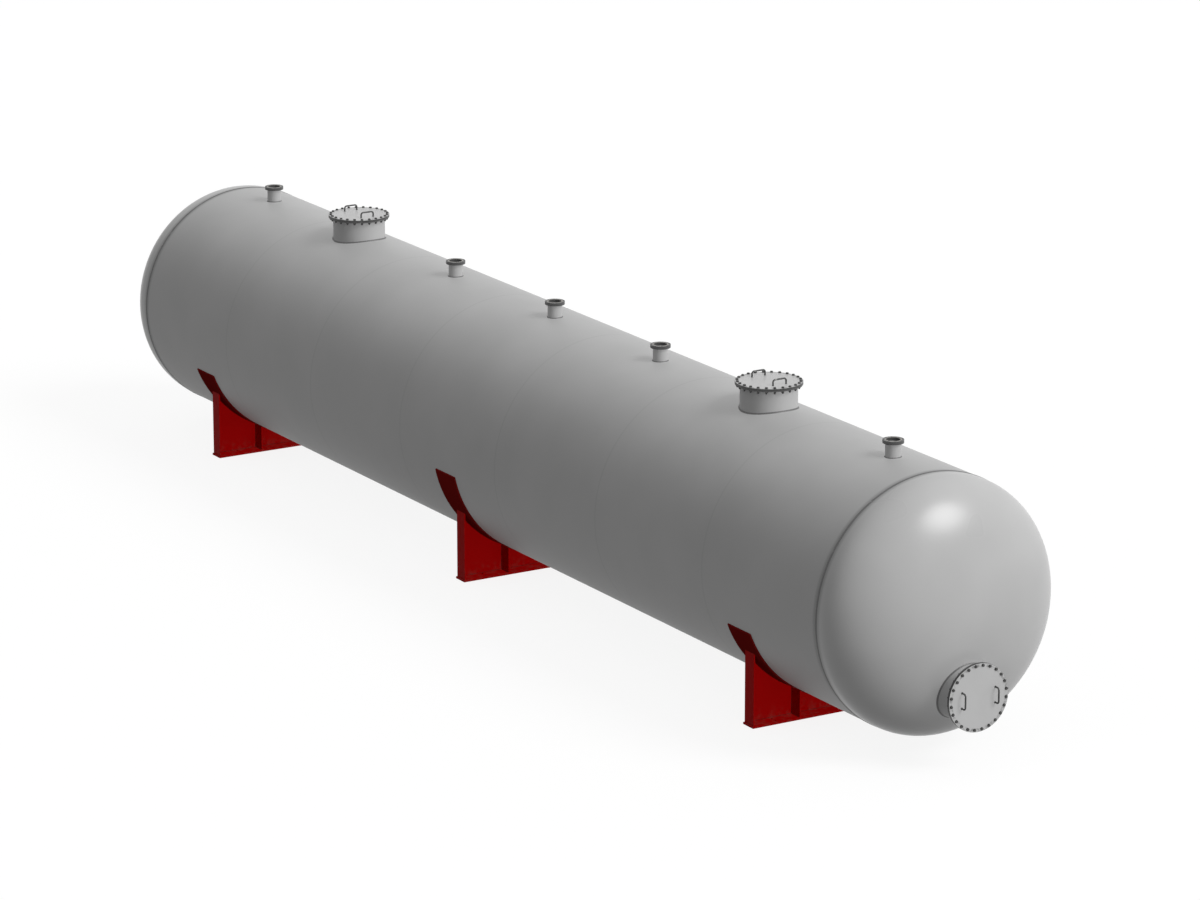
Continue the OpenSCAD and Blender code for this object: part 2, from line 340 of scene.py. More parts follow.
# %% [markdown]
# ## Weld metal
# A welder fills a corner between two plates with a small bead, called a fillet. The arc moves on in
# short steps, so the bead is a row of ripples like overlapping coins. Here a five-sided section of
# the bead is spun round an axis, or pushed along a straight line, in four small steps for each
# ripple, and its points are then raised and lowered in time with the ripples. The section starts a
# little inside both plates, as molten metal does, so no gap shows.

# %% Define how a bead is laid
FILLET_SHAPE = ((0, 0), (1, 0), (0.66, 0.46), (0.46, 0.66), (0, 1))
SUNK = 0.001
STEPS_PER_RIPPLE = 4
RIPPLE_SHARE = 0.1


def raise_ripples(bm, run_of, ripple, height):
    """Lifts a bead's points in even ripples; run_of tells how far along the bead a point lies."""
    bmesh.ops.recalc_face_normals(bm, faces=bm.faces)
    bm.normal_update()
    for vert in bm.verts:
        vert.co += vert.normal * height * abs(math.sin(math.pi * run_of(vert.co) / ripple))


def lay_bead(corner, walls, leg, ripple, centre=(0, 0, 0), axis=(1, 0, 0), turn=0.0,
             travel=(0, 0, 0)):
    """A fillet in the corner between two walls, along a straight line or round an axis."""
    corner, centre, axis, travel = Vector(corner), Vector(centre), Vector(axis), Vector(travel)
    first, second = (Vector(wall) for wall in walls)
    root = corner - (first + second) * SUNK
    bm = bmesh.new()
    section = [bm.verts.new(root + (first * a + second * b) * leg) for a, b in FILLET_SHAPE]
    face = bm.faces.new(section)
    is_ring = turn == FULL_TURN
    geom = section + face.edges[:] if is_ring else [face]
    if is_ring:
        bm.faces.remove(face)
    arm = corner - centre
    arm -= axis * arm.dot(axis)
    run = arm.length * turn or travel.length
    ripples = max(1, round(run / ripple))
    steps = ripples * STEPS_PER_RIPPLE
    bmesh.ops.spin(bm, geom=geom, cent=centre, axis=axis, dvec=travel / steps, angle=turn,
                   steps=steps, use_merge=is_ring)

    def run_of(point):
        reach = point - centre
        if turn:
            angle = math.atan2(reach.dot(axis.cross(arm)), reach.dot(arm))
            return arm.length * (angle % FULL_TURN)
        return (point - corner).dot(travel) / travel.length

    raise_ripples(bm, run_of, run / ripples, leg * RIPPLE_SHARE)
    return bm


# %% Define how beads are gathered and draped


def gather(beads):
    """Puts several bmeshes into one."""
    whole = bmesh.new()
    for bead in beads:
        mesh = bpy.data.meshes.new("bead")
        bead.to_mesh(mesh)
        bead.free()
        whole.from_mesh(mesh)
        bpy.data.meshes.remove(mesh)
    return whole


def drape(bm, surface, axis):
    """Moves each point of a bead along an axis, by how high the plate stands under it."""
    for vert in bm.verts:
        vert.co[axis] += surface(vert.co)
    return bm


# %% [markdown]
# ## The seams of the heads
# The widest weld on the tank joins each head to the shell. It was laid by a machine in one turn of
# the drum, so it is a flat cap and not a fillet, and its ripples are crescents: the middle of the
# molten pool runs behind its edges. The crescents come from a delay that grows with the square of
# the distance from the bead's middle.

# %% Lay the two head seams
SKIN_GAP = 0.0001
SKIN_R = SHELL_R + SKIN_GAP
SEAM_HALF_WIDTH = 0.014
SEAM_HEIGHT = 0.0026
SEAM_RIPPLE = 0.018
SEAM_RIPPLE_HEIGHT = 0.0006
CRESCENT = 0.008
SEAM_SHAPE = ((-1, 0), (-0.75, 0.62), (-0.35, 0.95), (0, 1), (0.35, 0.95), (0.75, 0.62), (1, 0))


def head_seam(x):
    """A cap of weld metal right round the drum at x."""
    bm = bmesh.new()
    section = [bm.verts.new((x + a * SEAM_HALF_WIDTH, 0, AXIS_Z + SKIN_R + b * SEAM_HEIGHT))
               for a, b in SEAM_SHAPE]
    edges = [bm.edges.new((section[i - 1], section[i])) for i in range(len(section))]
    ripples = round(FULL_TURN * SHELL_R / SEAM_RIPPLE)
    bmesh.ops.spin(bm, geom=section + edges, cent=(x, 0, AXIS_Z), axis=(1, 0, 0), angle=FULL_TURN,
                   steps=ripples * STEPS_PER_RIPPLE, use_merge=True)

    def run_of(point):
        angle = math.atan2(point.y, point.z - AXIS_Z)
        delay = CRESCENT / SEAM_RIPPLE * ((point.x - x) / SEAM_HALF_WIDTH) ** 2
        return angle * ripples / FULL_TURN + delay

    raise_ripples(bm, run_of, 1, SEAM_RIPPLE_HEIGHT)
    return bm


front_seam = make_piece("front_seam_bead", head_seam(FRONT_SEAM_X), "weld_bead")
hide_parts("head_weld_front")
rear_seam = make_piece("rear_seam_bead", head_seam(REAR_SEAM_X), "weld_bead")
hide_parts("head_weld_rear")

# %% [markdown]
# ## The feet of the necks
# Each nozzle and manway is set into a hole and welded all round. On a round drum that corner isn't
# flat: it climbs towards the crown and falls away at the sides. So each ring of weld is laid flat,
# as if on a table, and then draped over the drum or the dish by moving each point to the height of
# the plate under it.

# %% Weld the nozzles and manways to the plates
NOZZLE_NECK_R = 0.073
NOZZLE_BEAD = {"leg": 0.009, "ripple": 0.010}
MANWAY_BEAD = {"leg": 0.013, "ripple": 0.014}
NOZZLES = [f"nozzle_{n}" for n in range(1, 6)]
TOP_MANWAYS = ["manway_top_1", "manway_top_2"]
UP, FORWARD = Vector((0, 0, 1)), Vector((1, 0, 0))
X, Z = 0, 2


def shell_height(point):
    """How high the drum's outer face stands above this point of the ground."""
    return AXIS_Z + math.sqrt(SHELL_R ** 2 - point.y ** 2)


def dish_reach(point):
    """How far forward the front dish's outer face lies, at this height and side."""
    share = (point.y ** 2 + (point.z - AXIS_Z) ** 2) / SHELL_R ** 2
    return DISH_X + DISH_DEPTH * math.sqrt(1 - share)


def foot_on_shell(node, radius, bead):
    """The weld round a neck that stands on the crown."""
    x = measured(node)[0].x
    ring = lay_bead((x + radius, 0, 0), (FORWARD, UP), centre=(x, 0, 0), axis=UP, turn=FULL_TURN,
                    **bead)
    return drape(ring, shell_height, Z)


nozzle_feet = [foot_on_shell(name, NOZZLE_NECK_R, NOZZLE_BEAD) for name in NOZZLES]
make_piece("nozzle_foot_welds", gather(nozzle_feet), "weld_bead")
manway_feet = [foot_on_shell(name + "_cover", NECK_R, MANWAY_BEAD) for name in TOP_MANWAYS]
front_ring = lay_bead((0, 0, MANWAY_Z + NECK_R), (UP, FORWARD), centre=(0, 0, MANWAY_Z),
                      axis=FORWARD, turn=FULL_TURN, **MANWAY_BEAD)
manway_feet.append(drape(front_ring, dish_reach, X))
make_piece("manway_foot_welds", gather(manway_feet), "weld_bead")

# %% [markdown]
# ## One frame for three manways
# The three manways are the same fitting, once lying on the front head and twice standing on the
# crown. So whatever is made for one is made with the outer face of its cover at z = 0, and a matrix
# for each manway then puts it in place.

# %% Find the place of each manway
MANWAYS = {}
for name in TOP_MANWAYS:
    middle, low, high = measured(name + "_cover")
    MANWAYS[name] = Matrix.Translation((middle.x, 0, high.z)) @ Matrix.Rotation(math.pi / 2, 4, "Z")
cover_face_x = measured("manway_front_cover")[2].x
MANWAYS["manway_front"] = (Matrix.Translation((cover_face_x, 0, MANWAY_Z))
                           @ Matrix.Rotation(math.pi / 2, 4, "Y"))
COVER_T, GASKET_T, FLANGE_T = 0.014, 0.002, 0.012
UNDERSIDE = -(COVER_T + GASKET_T + FLANGE_T)
DOWN = -UP
print({name: [round(v, 3) for v in place.translation] for name, place in MANWAYS.items()})

# %% [markdown]
# ## The welds under the flanges and at the handles
# The loose flange is welded to its neck from below, where the light rarely reaches. Each handle is
# a bent bar whose two feet are welded to the cover by hand, in beads hardly thicker than a finger
# ring.

# %% Weld the flanges and the handles
HANDLE_OFFSET = 0.18
HANDLE_FOOT = 0.072
HANDLE_BAR_R = 0.008
FLANGE_BEAD = {"leg": 0.008, "ripple": 0.012}
HANDLE_BEAD = {"leg": 0.005, "ripple": 0.005}

flange_welds, handle_welds = [], []
for place in MANWAYS.values():
    ring = lay_bead((NECK_R, 0, UNDERSIDE), (FORWARD, DOWN), axis=UP, turn=FULL_TURN, **FLANGE_BEAD)
    bmesh.ops.transform(ring, verts=ring.verts, matrix=place)
    flange_welds.append(ring)
    for side in (-HANDLE_OFFSET, HANDLE_OFFSET):
        for foot in (-HANDLE_FOOT, HANDLE_FOOT):
            ring = lay_bead((foot + HANDLE_BAR_R, side, 0), (FORWARD, UP), centre=(foot, side, 0),
                            axis=UP, turn=FULL_TURN, **HANDLE_BEAD)
            bmesh.ops.transform(ring, verts=ring.verts, matrix=place)
            handle_welds.append(ring)
make_piece("manway_flange_welds", gather(flange_welds), "flange_steel")
make_piece("handle_foot_welds", gather(handle_welds), "handle_bar")

# %% [markdown]
# ## The manway bolts
# Twenty-four M16 bolts hold each cover down, with a washer under the head and another under the
# nut. The hexagons are circles of six sides, pulled up and bevelled so that their corners are
# broken as on a real bolt. The end of the thread comes out below the nut, so a zigzag is spun to
# make its grooves. Nobody lines hexagons up with a spanner, so each bolt is turned by its own
# amount, drawn from a seeded list that is the same in every run.

# %% Define the hexagons and washers of a bolt
HEX_FLATS = 0.024
HEX_CHAMFER = 0.0014
HEX_HEAD, HEX_NUT = 0.010, 0.013
WASHER_R, WASHER_T = 0.015, 0.003
ROUND_SEGMENTS = 16


def prism(bm, sides, radius, base, height):
    """A straight prism on the Z axis; returns the rim of its far end."""
    ring = bmesh.ops.create_circle(bm, cap_ends=True, segments=sides, radius=radius,
                                   matrix=Matrix.Translation((0, 0, base)))["verts"]
    face = ring[0].link_faces[0]
    pulled = bmesh.ops.extrude_face_region(bm, geom=[face])["geom"]
    verts = [part for part in pulled if isinstance(part, bmesh.types.BMVert)]
    bmesh.ops.translate(bm, verts=verts, vec=(0, 0, height))
    return [part for part in pulled if isinstance(part, bmesh.types.BMEdge)]


def hexagon(bm, base, height):
    """A hexagon whose far end has broken corners."""
    rim = prism(bm, 6, HEX_FLATS / math.sqrt(3), base, height)
    bmesh.ops.bevel(bm, geom=rim, offset=HEX_CHAMFER, affect="EDGES", segments=1, profile=0.5,
                    material=-1)


# %% Define the shank and put one bolt together
SHANK_R = 0.008
THREAD_PITCH, THREAD_DEPTH = 0.002, 0.0012
THREADS_SHOWN = 4


def threaded_end(bm, top, base):
    """The shank from inside the head down to below the nut, where its thread shows."""
    profile = [(0, top), (SHANK_R, top), (SHANK_R, base)]
    for turn in range(THREADS_SHOWN):
        z = base - turn * THREAD_PITCH
        profile += [(SHANK_R - THREAD_DEPTH, z - THREAD_PITCH / 2), (SHANK_R, z - THREAD_PITCH)]
    end = profile[-1][1] - THREAD_DEPTH
    profile += [(SHANK_R - THREAD_DEPTH, end), (0, end)]
    verts = [bm.verts.new((x, 0, z)) for x, z in profile]
    edges = [bm.edges.new(pair) for pair in zip(verts, verts[1:])]
    bmesh.ops.spin(bm, geom=verts + edges, axis=UP, angle=FULL_TURN, steps=ROUND_SEGMENTS,
                   use_merge=True)


def one_bolt():
    """Head, two washers, nut and shank, with the cover's face at z = 0."""
    bm = bmesh.new()
    prism(bm, ROUND_SEGMENTS, WASHER_R, 0, WASHER_T)
    hexagon(bm, WASHER_T, HEX_HEAD)
    prism(bm, ROUND_SEGMENTS, WASHER_R, UNDERSIDE, -WASHER_T)
    hexagon(bm, UNDERSIDE - WASHER_T, -HEX_NUT)
    threaded_end(bm, WASHER_T + HEX_HEAD / 2, UNDERSIDE - WASHER_T - HEX_NUT)
    return bm


bolt = one_bolt()
print("one bolt:", len(bolt.faces), "faces")
bolt.free()

# %% Put the bolts round the three covers
BOLTS = 24
BOLT_CIRCLE = 0.299
random.seed(16)

for name, place in MANWAYS.items():
    ring = []
    for n in range(BOLTS):
        bolt = one_bolt()
        own_turn = Matrix.Rotation(random.uniform(0, math.pi / 3), 4, "Z")
        round_the_cover = Matrix.Rotation((n + 0.5) * FULL_TURN / BOLTS, 4, "Z")
        seat = place @ round_the_cover @ Matrix.Translation((BOLT_CIRCLE, 0, 0)) @ own_turn
        bmesh.ops.transform(bolt, verts=bolt.verts, matrix=seat)
        ring.append(bolt)
    make_piece(name + "_bolts", gather(ring), "bolt_steel")

# %% [markdown]
# ## The welds of the saddles
# A saddle is built up from plate: a base, an upright web along its rear edge, ribs that keep the
# web from folding, and a curved pad that spreads the load over the drum. Each plate meets the next
# in a pair of fillets. They are the same bead as before, laid along the edges that the plates'
# boxes give.

# %% Define the welds of a saddle's pad
SADDLES = ("saddle_1", "saddle_2", "saddle_3")
PLATE_BEAD = {"leg": 0.007, "ripple": 0.016}
SIDEWAYS = Vector((0, 1, 0))
AXIS_POINT = Vector((0, 0, AXIS_Z))


def outwards(angle):
    """The direction from the drum's axis at an angle from straight down, turning to +Y."""
    return Vector((0, math.sin(angle), -math.cos(angle)))


def arc_beads(plate_low, plate_high, radius, half):
    """One bead along each side of a curved plate, from one end of its arc to the other."""
    start = outwards(-half)
    beads = []
    for x, away in ((plate_low.x, -FORWARD), (plate_high.x, FORWARD)):
        corner = x * FORWARD + AXIS_POINT + start * radius
        beads.append(lay_bead(corner, (away, start), centre=AXIS_POINT, axis=FORWARD,
                              turn=2 * half, **PLATE_BEAD))
    return beads


def pad_welds(pad_low, pad_high, pad_r):
    """The four edges of a pad on the drum: two arcs and two straight ends."""
    half = math.asin(pad_high.y / pad_r)
    beads = arc_beads(pad_low, pad_high, SHELL_R, half)
    for side in (-1, 1):
        out = outwards(side * half)
        away = Vector((0, side * math.cos(half), math.sin(half)))
        corner = pad_low.x * FORWARD + AXIS_POINT + out * SHELL_R
        length = (pad_high.x - pad_low.x) * FORWARD
        beads.append(lay_bead(corner, (away, out), travel=length, **PLATE_BEAD))
    return beads


# %% Define the welds of a saddle's web and ribs


def web_welds(web_low, web_high, pad_r):
    """Both sides of the web, along the base and under the pad."""
    beads = arc_beads(web_low, web_high, pad_r, math.asin(web_high.y / pad_r))
    for x, away in ((web_low.x, -FORWARD), (web_high.x, FORWARD)):
        foot = (x, web_low.y, web_low.z)
        along = (web_high.y - web_low.y) * SIDEWAYS
        beads.append(lay_bead(foot, (away, UP), travel=along, **PLATE_BEAD))
    return beads


def rib_welds(ribs, web, pad_r):
    """The feet of the ribs on the base, and the corners between the ribs and the web."""
    (ribs_low, ribs_high), web_high = ribs[1:], web[2]
    end_y, plate = ribs_high.y, ribs_high.y - web_high.y
    beads = []
    for y in (-end_y, end_y - plate):
        for face_y, away in ((y, -SIDEWAYS), (y + plate, SIDEWAYS)):
            foot = (ribs_low.x, face_y, ribs_low.z)
            length = (ribs_high.x - ribs_low.x) * FORWARD
            beads.append(lay_bead(foot, (away, UP), travel=length, **PLATE_BEAD))
    middles = [share * (end_y - plate / 2) for share in (-1, -0.5, 0, 0.5, 1)]
    for y in middles:
        for face_y, away in ((y - plate / 2, -SIDEWAYS), (y + plate / 2, SIDEWAYS)):
            if abs(face_y) > web_high.y + SUNK:
                continue
            foot = (web_high.x, face_y, ribs_low.z)
            rise = (AXIS_Z - math.sqrt(pad_r ** 2 - face_y ** 2) - ribs_low.z) * UP
            beads.append(lay_bead(foot, (FORWARD, away), travel=rise, **PLATE_BEAD))
            if abs(y) < web_high.y:
                length = (ribs_high.x - web_high.x) * FORWARD
                beads.append(lay_bead(foot, (away, UP), travel=length, **PLATE_BEAD))
    return beads


# %% Weld the three saddles
for saddle in SADDLES:
    pad, web, ribs = (measured(f"{saddle}_{plate}") for plate in ("pad", "web", "ribs"))
    pad_r = round(AXIS_Z - pad[1].z, 3)
    beads = pad_welds(pad[1], pad[2], pad_r) + web_welds(web[1], web[2], pad_r)
    make_piece(saddle + "_welds", gather(beads + rib_welds(ribs, web, pad_r)), "saddle_paint")

# %% [markdown]
# ## Light grey enamel on the plates
# The drum, its heads and its necks were blasted, primed and sprayed with a two-pack enamel, a paint
# that hardens like a resin. It gives the eye an even, satin grey: a soft shine, a faint unevenness
# where one pass of the gun overlaps the next, and the fine dimples called orange peel. The real
# dimples are about 2 mm apart, too fine to see from here, so they are drawn 35 mm apart. Rolled
# plate is never quite true, so long, shallow waves lie under the paint. Where two courses of plate
# meet, the weld was ground flush, and only a slight band shows through the paint. Along the two
# head seams a stripe was brushed on first, to cover the weld's rough edges, and it leaves a soft
# darker band. The pressed heads are smoother than the rolled plates, so the same paint is glossier
# there. The heads' paint is also a shade lighter, which is painted light standing in for the
# brighter light on their sunlit side. One function mixes both, and another draws the bands.

# %% Define the bands along the seams
FLUSH_SEAM_HALF_WIDTH, FLUSH_SEAM_SHARE = 0.016, 0.3
STRIPE_HALF_WIDTH, STRIPE_SHARE = 0.07, 0.85
course_length = course_high.x - course_low.x


def seam_band(tree, x, first, spacing, inner, outer, share):
    """A soft band along seams at even steps, full out to inner and gone from outer onwards."""
    off_seam = add(tree, "Math", {"operation": "SUBTRACT"}, {0: x, 1: first})
    off_seam = add(tree, "Math", {"operation": "PINGPONG"}, {0: off_seam, 1: spacing / 2})
    return add(tree, "MapRange", {"interpolation_type": "SMOOTHSTEP"},
               {0: off_seam, "From Min": inner, "From Max": outer, "To Min": share, "To Max": 0.0})


print("flush seams every", round(course_length, 3), "m")

# %% Mix the plates' enamel
SPRAY_PASS_MM, PEEL_MM, PLATE_WAVE_MM = 900, 35, 650


def sprayed_enamel(name, dark, light, shine_range):
    """Sprayed paint between two tones, with the bands of both kinds of seam."""
    material, tree = new_tree(name)
    place = add(tree, "TexCoord").outputs["Object"]
    passes = add(tree, "TexNoise",
                 inputs={"Vector": place, "Scale": per_metre(SPRAY_PASS_MM), "Detail": 2.0})
    passes = add(tree, "MapRange", inputs={0: passes, "From Min": 0.3, "From Max": 0.7})
    tone = add(tree, "Mix", {"data_type": "RGBA"}, {0: passes, 6: linear(dark), 7: linear(light)})
    x = add(tree, "SeparateXYZ", inputs={0: place}).outputs["X"]
    flush = seam_band(tree, x, course_low.x, course_length, 0.0, FLUSH_SEAM_HALF_WIDTH,
                      FLUSH_SEAM_SHARE)
    tone = add(tree, "Mix", {"data_type": "RGBA"},
               {0: flush, 6: tone.outputs[2], 7: linear("969696")})
    stripe = seam_band(tree, x, REAR_SEAM_X, FRONT_SEAM_X - REAR_SEAM_X, SEAM_HALF_WIDTH,
                       STRIPE_HALF_WIDTH, STRIPE_SHARE)
    tone = add(tree, "Mix", {"data_type": "RGBA"},
               {0: stripe, 6: tone.outputs[2], 7: linear("868686")})
    peel = add(tree, "TexNoise",
               inputs={"Vector": place, "Scale": per_metre(PEEL_MM), "Detail": 1.0})
    wave = add(tree, "TexNoise",
               inputs={"Vector": place, "Scale": per_metre(PLATE_WAVE_MM), "Detail": 0.0})
    bump = add(tree, "Bump", inputs={"Height": wave, "Strength": 1.0, "Distance": 0.002})
    bump = add(tree, "Bump",
               inputs={"Height": peel, "Strength": 1.0, "Distance": 0.0002, "Normal": bump})
    shine = add(tree, "MapRange",
                inputs={0: passes, "To Min": shine_range[0], "To Max": shine_range[1]})
    coat = add(tree, "BsdfPrincipled", inputs={"Base Color": tone.outputs[2], "Roughness": shine,
                                               "IOR": 1.35, "Normal": bump})
    add(tree, "OutputMaterial", inputs={"Surface": coat})
    print(material.name)
    return material


vessel_enamel = sprayed_enamel("light_grey_two_pack_enamel", "ABABAB", "B3B3B3", (0.50, 0.55))
# Painted light: the heads' tones are a shade lighter than the drum's, for the brighter light on
# their sunlit side.
head_enamel_with_painted_light = sprayed_enamel("light_grey_enamel_lightened_as_painted_light", "AFAFAF", "B7B7B7", (0.27, 0.31))

# %% [markdown]
# ## Darker enamel on the seams, flanges and handles
# The parts that are gripped, bolted or ground are touched up by brush in a darker grey. Brushed
# paint keeps the marks of the bristles, which break up its shine, and it wears to a lighter
# undercoat where hands and spanners rub. The real marks are about 1 mm apart and are drawn 12 mm
# apart, so that they show. One function mixes it for each part, in its own tone.

# %% Mix the brushed greys
BRUSH_MM, RUB_MM = 12, 70
WORN_EDGE = 0.06


def brushed_enamel(name, dark, light, worn, wear):
    """Brushed paint between two tones, worn to a third on a share of the surface."""
    material, tree = new_tree(name)
    place = add(tree, "TexCoord").outputs["Object"]
    strokes = add(tree, "TexNoise",
                  inputs={"Vector": place, "Scale": per_metre(BRUSH_MM), "Detail": 2.0})
    tone = add(tree, "Mix", {"data_type": "RGBA"}, {0: strokes, 6: linear(dark), 7: linear(light)})
    rubbed = add(tree, "TexNoise",
                 inputs={"Vector": place, "Scale": per_metre(RUB_MM), "Detail": 5.0})
    rubbed = add(tree, "MapRange",
                 inputs={0: rubbed, "From Min": 1 - wear, "From Max": 1 + WORN_EDGE - wear})
    tone = add(tree, "Mix", {"data_type": "RGBA"},
               {0: rubbed, 6: tone.outputs[2], 7: linear(worn)})
    shine = add(tree, "MapRange", inputs={0: strokes, "To Min": 0.42, "To Max": 0.55})
    bump = add(tree, "Bump", inputs={"Height": strokes, "Strength": 0.6, "Distance": 0.0004})
    coat = add(tree, "BsdfPrincipled", inputs={"Base Color": tone.outputs[2], "Roughness": shine,
                                               "IOR": 1.5, "Normal": bump})
    add(tree, "OutputMaterial", inputs={"Surface": coat})
    print(material.name)
    return material


seam_enamel = brushed_enamel("brushed_enamel_on_welds", "565656", "626262", "7E7E7E", 0.34)
flange_enamel = brushed_enamel("brushed_enamel_on_flanges", "464646", "525252", "7C7C7C", 0.33)
handle_enamel = brushed_enamel("brushed_enamel_on_handles", "343434", "404040", "8A8A88", 0.38)

# %% [markdown]
# ## Enamel on the nozzles
# A nozzle is one forging whose neck was sprayed with the drum and whose flange was brushed dark
# afterwards. Its top face is bare: a gasket has to seal there, so a lathe cut a fine spiral groove
# between the bore and the bolts. The real groove repeats every 0.8 mm and is drawn as a ring every
# 4 mm. The nozzles stand at even steps along the crown, so one mirrored ruler along X gives each of
# them a middle to measure the radius from.

# %% Tell a nozzle's neck, flange and sealing face apart
CROWN_STEP = measured("nozzle_2")[0].x - measured("nozzle_3")[0].x
NOZZLE_FLANGE_T = 0.030
SEALING_R = 0.080
EDGE_SOFTNESS = 0.0015
nozzle_mid, _, nozzle_high = measured("nozzle_1")
NOZZLE_TOP = nozzle_high.z
FLANGE_UNDERSIDE = NOZZLE_TOP - NOZZLE_FLANGE_T

nozzle_enamel, tree = new_tree("enamel_and_machined_steel")
place = add(tree, "TexCoord").outputs["Object"]
split = add(tree, "SeparateXYZ", inputs={0: place})
along = add(tree, "Math", {"operation": "SUBTRACT"}, {0: split.outputs["X"], 1: nozzle_mid.x})
along = add(tree, "Math", {"operation": "PINGPONG"}, {0: along, 1: CROWN_STEP / 2})
flat = add(tree, "CombineXYZ", inputs={"X": along, "Y": split.outputs["Y"]})
radius = add(tree, "VectorMath", {"operation": "LENGTH"}, {0: flat}).outputs["Value"]
on_flange = add(tree, "MapRange",
                inputs={0: split.outputs["Z"], "From Min": FLANGE_UNDERSIDE - EDGE_SOFTNESS,
                        "From Max": FLANGE_UNDERSIDE})
inside = add(tree, "MapRange",
             inputs={0: radius, "From Min": SEALING_R, "From Max": SEALING_R + EDGE_SOFTNESS,
                     "To Min": 1.0, "To Max": 0.0})
on_top = add(tree, "MapRange",
             inputs={0: split.outputs["Z"], "From Min": NOZZLE_TOP - EDGE_SOFTNESS,
                     "From Max": NOZZLE_TOP - EDGE_SOFTNESS / 2})
bare = add(tree, "Math", {"operation": "MULTIPLY"}, {0: inside, 1: on_top})
print("a nozzle every", round(CROWN_STEP, 3), "m, its flange from", round(FLANGE_UNDERSIDE, 3),
      "to", round(NOZZLE_TOP, 3), "m high")

# %% Mix the nozzles' enamel
GROOVE_MM = 4

strokes = add(tree, "TexNoise",
              inputs={"Vector": place, "Scale": per_metre(BRUSH_MM), "Detail": 2.0})
dark = add(tree, "Mix", {"data_type": "RGBA"},
           {0: strokes, 6: linear("424242"), 7: linear("505050")})
tone = add(tree, "Mix", {"data_type": "RGBA"},
           {0: on_flange, 6: linear("AFAFAF"), 7: dark.outputs[2]})
tone = add(tree, "Mix", {"data_type": "RGBA"},
           {0: bare, 6: tone.outputs[2], 7: linear("8C8A86")})
groove = add(tree, "Math", {"operation": "MULTIPLY"},
             {0: radius, 1: per_metre(GROOVE_MM) * FULL_TURN})
groove = add(tree, "Math", {"operation": "SINE"}, {0: groove})
groove = add(tree, "Math", {"operation": "MULTIPLY"}, {0: groove, 1: bare})
bump = add(tree, "Bump", inputs={"Height": groove, "Strength": 0.5, "Distance": 0.0006})
shine = add(tree, "MapRange", inputs={0: strokes, "To Min": 0.38, "To Max": 0.48})
coat = add(tree, "BsdfPrincipled", inputs={"Base Color": tone.outputs[2], "Roughness": shine,
                                           "Metallic": bare, "Normal": bump})
add(tree, "OutputMaterial", inputs={"Surface": coat})
print(nozzle_enamel.name)

# %% [markdown]
# ## Enamel on the covers
# The covers were cut from flat plate by a flame and painted a lighter grey. The cut edge was left
# dark, and round the bolts the washers and spanners have scuffed the paint in a ring.
# The pattern is round, so each cover gets the same paint centred on its own middle: a Mapping node
# moves the middle to zero and lays the front cover's pattern flat.

# %% Mix the covers' enamel
COVER_R = 0.320
CUT_EDGE = 0.002
BOLT_RING_HALF_WIDTH = 0.019
SCUFF_MM, COVER_PASS_MM = 26, 260


def cover_enamel(name, place_of_cover):
    """Sprayed paint for one cover, with its dark cut edge and the scuffs round its bolts."""
    material, tree = new_tree(name)
    place = add(tree, "TexCoord").outputs["Object"]
    back = place_of_cover.inverted()
    local = add(tree, "Mapping", inputs={"Vector": place, "Location": back.translation,
                                         "Rotation": back.to_euler()})
    split = add(tree, "SeparateXYZ", inputs={0: local})
    flat = add(tree, "CombineXYZ", inputs={"X": split.outputs["X"], "Y": split.outputs["Y"]})
    radius = add(tree, "VectorMath", {"operation": "LENGTH"}, {0: flat}).outputs["Value"]
    passes = add(tree, "TexNoise",
                 inputs={"Vector": local, "Scale": per_metre(COVER_PASS_MM), "Detail": 3.0})
    tone = add(tree, "Mix", {"data_type": "RGBA"},
               {0: passes, 6: linear("B3B3B3"), 7: linear("BDBDBD")})
    off_ring = add(tree, "Math", {"operation": "SUBTRACT"}, {0: radius, 1: BOLT_CIRCLE})
    off_ring = add(tree, "Math", {"operation": "ABSOLUTE"}, {0: off_ring})
    ring = add(tree, "MapRange", {"interpolation_type": "SMOOTHSTEP"},
               {0: off_ring, "From Min": BOLT_RING_HALF_WIDTH / 2, "From Max": BOLT_RING_HALF_WIDTH,
                "To Min": 1.0, "To Max": 0.0})
    scuff = add(tree, "TexNoise",
                inputs={"Vector": local, "Scale": per_metre(SCUFF_MM), "Detail": 4.0})
    scuff = add(tree, "MapRange", inputs={0: scuff, "From Min": 0.45, "From Max": 0.62})
    scuff = add(tree, "Math", {"operation": "MULTIPLY"}, {0: scuff, 1: ring})
    tone = add(tree, "Mix", {"data_type": "RGBA"},
               {0: scuff, 6: tone.outputs[2], 7: linear("8A8A8A")})
    edge = add(tree, "MapRange",
               inputs={0: radius, "From Min": COVER_R - CUT_EDGE,
                       "From Max": COVER_R - CUT_EDGE / 2})
    tone = add(tree, "Mix", {"data_type": "RGBA"},
               {0: edge, 6: tone.outputs[2], 7: linear("3E3E3E")})
    shine = add(tree, "MapRange", inputs={0: scuff, "To Min": 0.40, "To Max": 0.55})
    bump = add(tree, "Bump", inputs={"Height": passes, "Strength": 1.0, "Distance": 0.0008})
    coat = add(tree, "BsdfPrincipled", inputs={"Base Color": tone.outputs[2], "Roughness": shine,
                                               "IOR": 1.5, "Normal": bump})
    add(tree, "OutputMaterial", inputs={"Surface": coat})
    print(material.name)
    return material


cover_finishes = {name + "_cover": cover_enamel("enamel_on_" + name + "_cover", place)
                  for name, place in MANWAYS.items()}

# %% [markdown]
# ## Black oxide on the bolts
# Bolts of this grade are blackened in a hot salt bath. The oxide is a very thin dark layer of the
# steel itself, so it stays metallic: near black, with a dull grey shine on the flats and, after a
# few openings of the manway, some bare steel where the spanner gripped.

# %% Blacken the bolts
GRIP_MM = 9

